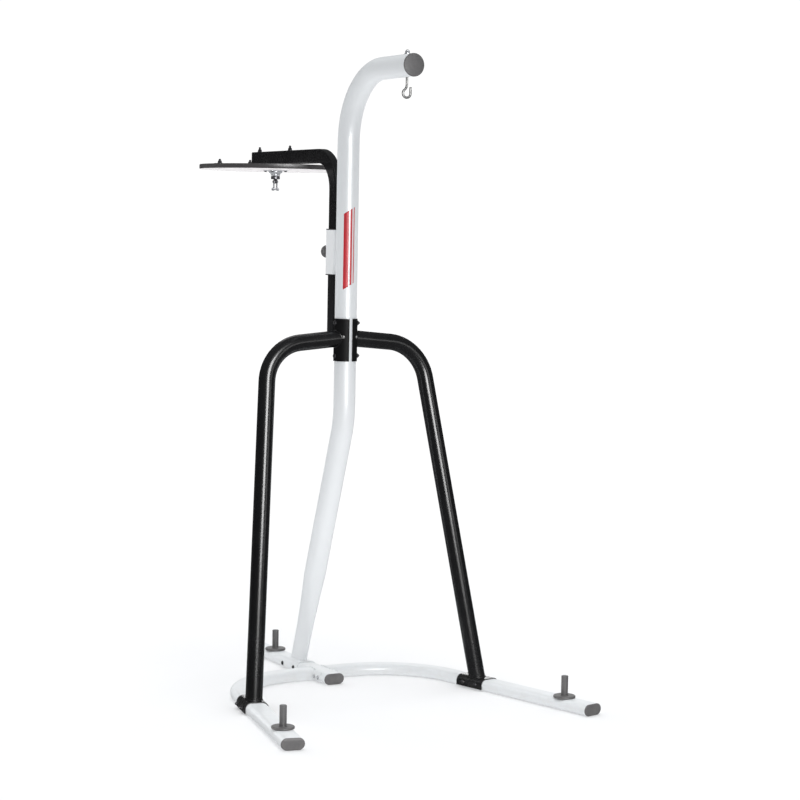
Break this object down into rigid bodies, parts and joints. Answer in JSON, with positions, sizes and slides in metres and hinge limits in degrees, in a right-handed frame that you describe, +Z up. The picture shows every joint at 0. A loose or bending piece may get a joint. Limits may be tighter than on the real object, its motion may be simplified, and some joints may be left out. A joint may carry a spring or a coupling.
{
  "type": "boxing bag stand",
  "caption": "Free-standing tubular boxing stand: gooseneck arm with a bag hook in front, height-adjustable round board with a swivel hanger behind, and weight pegs on a bent base.",
  "frame": {"origin": "on the floor under the middle of the tail tube, where the two bent base tubes meet it", "axes": "+Z is up; the hook arm reaches towards -Y and the round board is on the +Y side; +X is to the right seen from the hook side"},
  "size_m": [1.1904, 1.6024, 2.187],
  "materials": {
    "white_coat": "gloss powder coat",
    "black_coat": "semi-gloss powder coat",
    "grey_plastic": "moulded, fine grain",
    "grey_coat": "satin powder coat",
    "black_plastic": "moulded",
    "black_fastener": "black oxide",
    "zinc_plate": "bright zinc",
    "dark_steel": "oiled",
    "board_laminate": "pale laminate over board"
  },
  "bodies": {
    "stand": {"upper_post": "white_coat", "lower_post": "white_coat", "clamp_shell_left": "black_coat", "clamp_shell_right": "black_coat", "clamp_bolts": "black_fastener", "clamp_nuts": "black_fastener", "clamp_side_screws": "zinc_plate", "base_left_tube": "white_coat", "base_right_tube": "white_coat", "base_left_bracket": "white_coat", "base_right_bracket": "white_coat", "bracket_bolts": "zinc_plate", "bracket_nuts": "zinc_plate", "left_leg_saddle": "black_coat", "right_leg_saddle": "black_coat", "saddle_bolts": "black_fastener", "saddle_nuts": "black_fastener", "left_leg": "black_coat", "right_leg": "black_coat", "tail_tube": "white_coat", "post_foot_saddle": "white_coat", "foot_bolts": "black_fastener", "foot_nuts": "black_fastener", "base_end_caps": "grey_plastic", "arm_end_cap": "grey_plastic", "weight_pegs": "grey_coat", "peg_discs": "grey_coat", "peg_nuts": "zinc_plate", "hook_washer": "zinc_plate", "arm_sleeve": "white_coat", "knob_boss": "zinc_plate", "sleeve_bush_top": "black_plastic", "sleeve_bush_bottom": "black_plastic"},
    "hook": {"hook_bolt": "zinc_plate", "hook_nut": "zinc_plate"},
    "board_arm": {"speed_arm": "black_coat", "speed_arm_plugs": "black_plastic", "board_bracket": "black_coat", "platform_board": "board_laminate", "board_edging": "black_plastic", "arm_bolts": "black_fastener", "arm_washers": "black_fastener", "arm_nuts": "black_fastener", "board_bolts": "black_fastener", "board_washers": "black_fastener", "board_nuts": "black_fastener", "swivel_plate": "zinc_plate", "swivel_screws": "black_fastener", "swivel_housing": "zinc_plate"},
    "spindle": {"swivel_spindle": "dark_steel"},
    "hanger": {"hanger_cheeks": "zinc_plate", "hanger_pivot_pin": "dark_steel", "hanger_spool": "zinc_plate"},
    "knob_screw": {"knob_screw": "zinc_plate"},
    "knob": {"knob_handle": "grey_plastic"}
  },
  "joints": [
    {"name": "hook_swivel", "type": "hinge", "parent": "stand", "child": "hook", "pos_m": [0, -0.559, 2.15], "axis": [0, 0, 1], "continuous": true},
    {"name": "board_arm_height", "type": "slide", "parent": "stand", "child": "board_arm", "axis": [0, 0, 1], "range_m": [-0.13, 0.18]},
    {"name": "knob_travel", "type": "slide", "parent": "stand", "child": "knob_screw", "axis": [0, 1, 0], "range_m": [0, 0.00451]},
    {"name": "knob_turn", "type": "hinge", "parent": "knob_screw", "child": "knob", "pos_m": [0, -0.022, 1.52], "axis": [0, 1, 0], "range_deg": [0, 1080]},
    {"name": "swivel_spin", "type": "hinge", "parent": "board_arm", "child": "spindle", "pos_m": [0, 0.4043, 1.79], "axis": [0, 0, 1], "continuous": true},
    {"name": "hanger_swing", "type": "hinge", "parent": "spindle", "child": "hanger", "pos_m": [0, 0.4043, 1.7681], "axis": [1, 0, 0], "range_deg": [-75, 75]}
  ],
  "couplings": [
    {"joint": "knob_travel", "follows": "knob_turn", "m_per_rad": 0.00023873}
  ]
}
